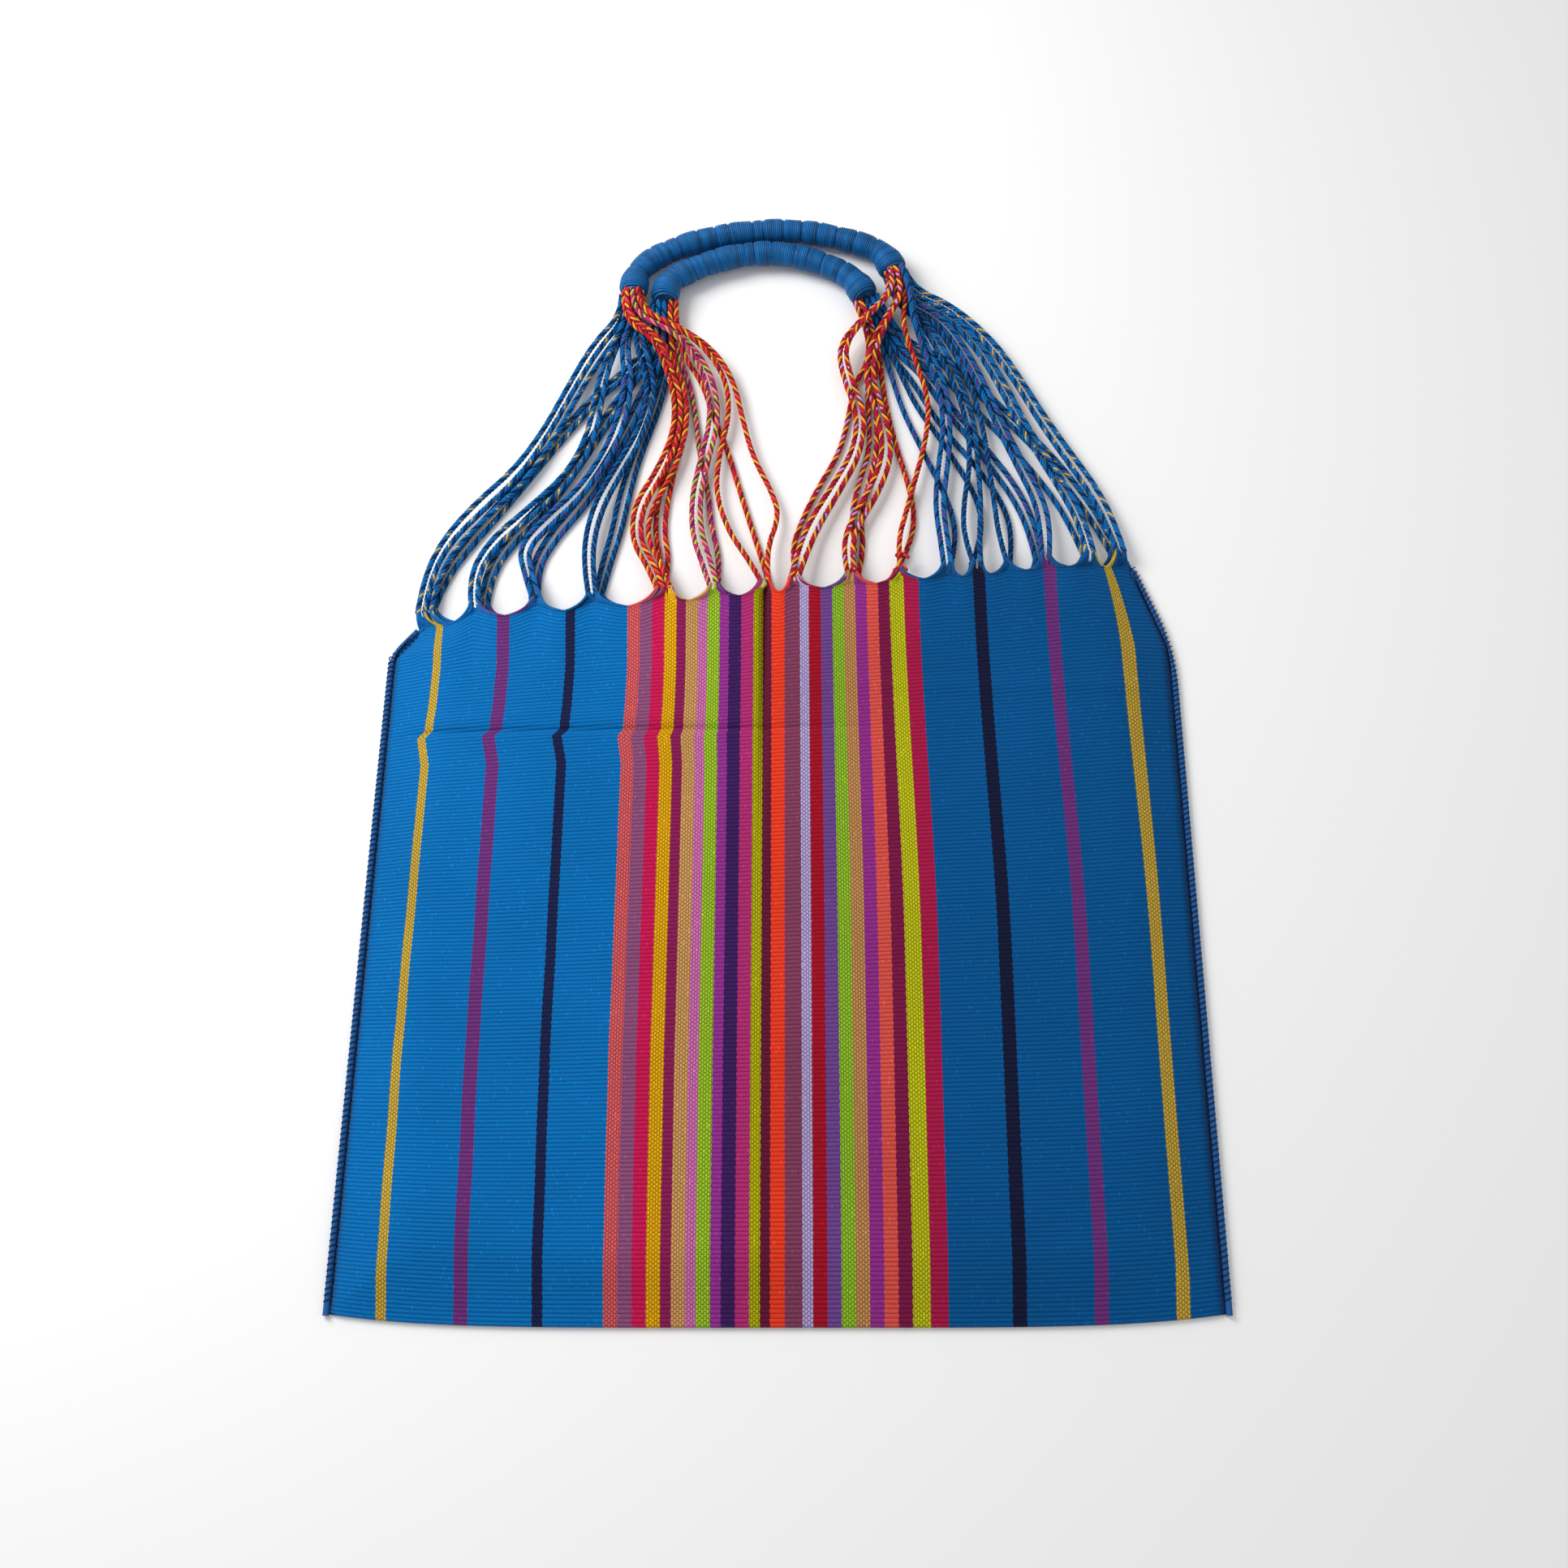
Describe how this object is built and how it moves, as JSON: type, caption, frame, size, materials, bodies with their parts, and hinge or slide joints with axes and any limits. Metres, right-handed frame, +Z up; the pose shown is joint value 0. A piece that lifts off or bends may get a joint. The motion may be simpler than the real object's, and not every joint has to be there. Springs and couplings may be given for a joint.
{
  "type": "woven hammock bag",
  "caption": "Flat striped cloth pouch, open at the mouth, whose warp ends are twisted into cords that meet in two yarn-wrapped carrying handles.",
  "frame": {"origin": "under the middle of the whole bag as it lies flat, at table height", "axes": "+X across the bag, +Y from the bottom fold to the handles, +Z up from the table through the front panel"},
  "size_m": [0.4, 0.582, 0.016],
  "materials": {
    "striped_cloth": "matt woven or twisted yarn",
    "seam_thread": "matt woven or twisted yarn",
    "warp_ends": "matt woven or twisted yarn",
    "blue_warp_ends": "matt woven or twisted yarn",
    "blue_yellow_cord": "matt woven or twisted yarn",
    "blue_purple_cord": "matt woven or twisted yarn",
    "blue_cord": "matt woven or twisted yarn",
    "red_yellow_cord": "matt woven or twisted yarn",
    "pink_lime_cord": "matt woven or twisted yarn",
    "mixed_light_cord": "matt woven or twisted yarn",
    "core_cord": "matt woven or twisted yarn",
    "handle_yarn": "slightly glossy wound yarn",
    "binding_yarn": "slightly glossy wound yarn"
  },
  "bodies": {
    "bag": {"woven_cloth": "striped_cloth", "left_seam_thread": "seam_thread", "right_seam_thread": "seam_thread", "front_warp_fans": "warp_ends", "back_warp_fans": "blue_warp_ends"},
    "front_net": {"front_bunch_01": "blue_yellow_cord", "front_bunch_02": "blue_yellow_cord", "front_bunch_03": "blue_purple_cord", "front_bunch_04": "blue_cord", "front_bunch_05": "red_yellow_cord", "front_bunch_06": "pink_lime_cord", "front_bunch_07": "red_yellow_cord", "front_bunch_08": "mixed_light_cord", "front_bunch_09": "mixed_light_cord", "front_bunch_10": "red_yellow_cord", "front_bunch_11": "blue_purple_cord", "front_bunch_12": "blue_cord", "front_bunch_13": "blue_cord", "front_bunch_14": "blue_purple_cord", "front_bunch_15": "blue_yellow_cord", "front_bunch_16": "blue_yellow_cord", "front_handle_core": "core_cord", "front_handle_wrap": "handle_yarn", "front_handle_left_binding": "binding_yarn", "front_handle_right_binding": "binding_yarn"},
    "back_net": {"back_bunch_01": "blue_yellow_cord", "back_bunch_02": "blue_yellow_cord", "back_bunch_03": "blue_purple_cord", "back_bunch_04": "blue_cord", "back_bunch_05": "red_yellow_cord", "back_bunch_06": "pink_lime_cord", "back_bunch_07": "red_yellow_cord", "back_bunch_08": "mixed_light_cord", "back_bunch_09": "mixed_light_cord", "back_bunch_10": "red_yellow_cord", "back_bunch_11": "blue_purple_cord", "back_bunch_12": "blue_cord", "back_bunch_13": "blue_cord", "back_bunch_14": "blue_purple_cord", "back_bunch_15": "blue_yellow_cord", "back_bunch_16": "blue_yellow_cord", "back_handle_core": "core_cord", "back_handle_wrap": "handle_yarn", "back_handle_left_binding": "binding_yarn", "back_handle_right_binding": "binding_yarn"}
  },
  "joints": [
    {"name": "front_net_lift", "type": "hinge", "parent": "bag", "child": "front_net", "pos_m": [0, 0.069, 0.011], "axis": [0.9956, 0.0935, 0], "range_deg": [0, 175]},
    {"name": "back_net_fold", "type": "hinge", "parent": "bag", "child": "back_net", "pos_m": [0, 0.072, -0.0002], "axis": [0.9956, 0.0935, 0], "range_deg": [-175, 0]}
  ]
}
